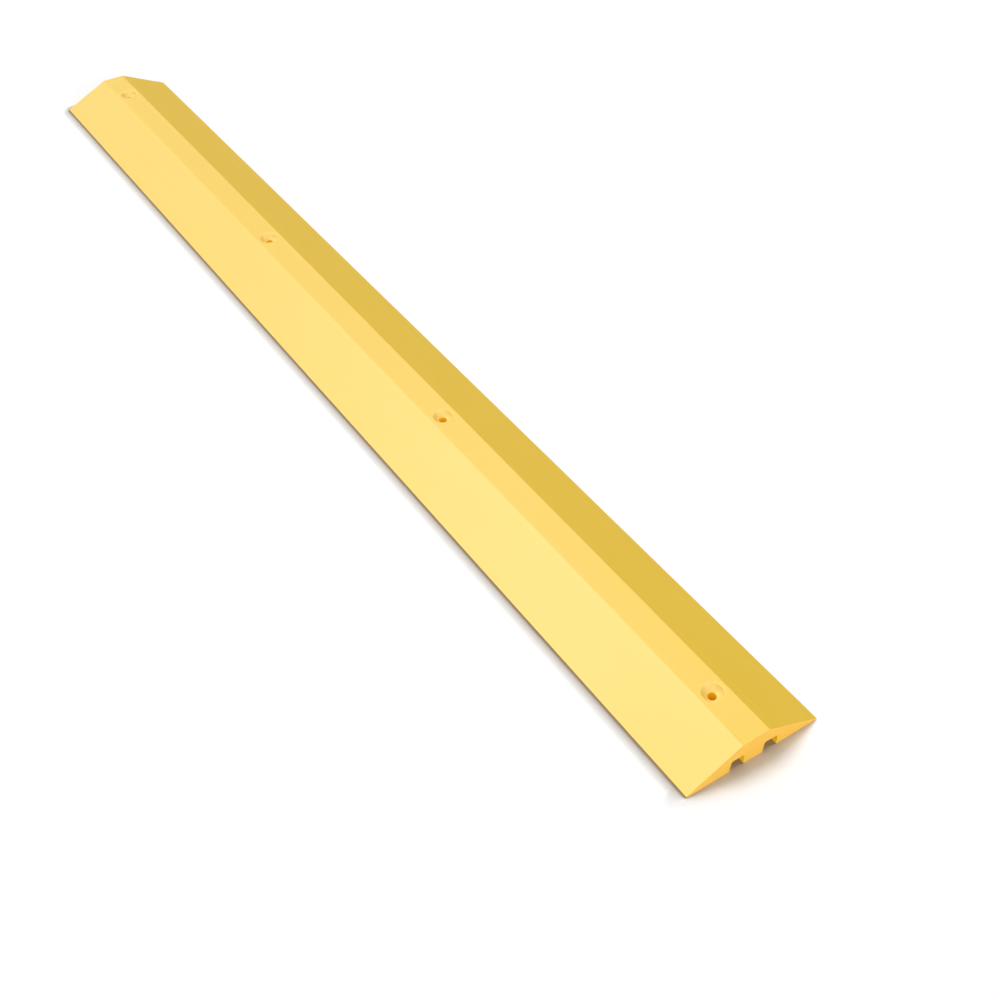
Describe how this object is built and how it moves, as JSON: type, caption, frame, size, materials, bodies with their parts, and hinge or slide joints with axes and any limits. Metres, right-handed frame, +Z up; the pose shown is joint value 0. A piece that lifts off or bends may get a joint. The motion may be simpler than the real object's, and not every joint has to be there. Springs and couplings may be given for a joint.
{
  "type": "speed bump",
  "caption": "Low ridge-shaped speed bump bar of solid yellow plastic, with dished fixing holes along its flat crest and cable channels through its underside.",
  "frame": {"origin": "middle of the underside, on the road surface", "axes": "+X along the bar, +Y across it in the direction of travel, +Z up"},
  "size_m": [2.4384, 0.254, 0.0508],
  "materials": {
    "yellow_plastic": "satin"
  },
  "bodies": {
    "root": {"bump_bar": "yellow_plastic"}
  },
  "joints": []
}
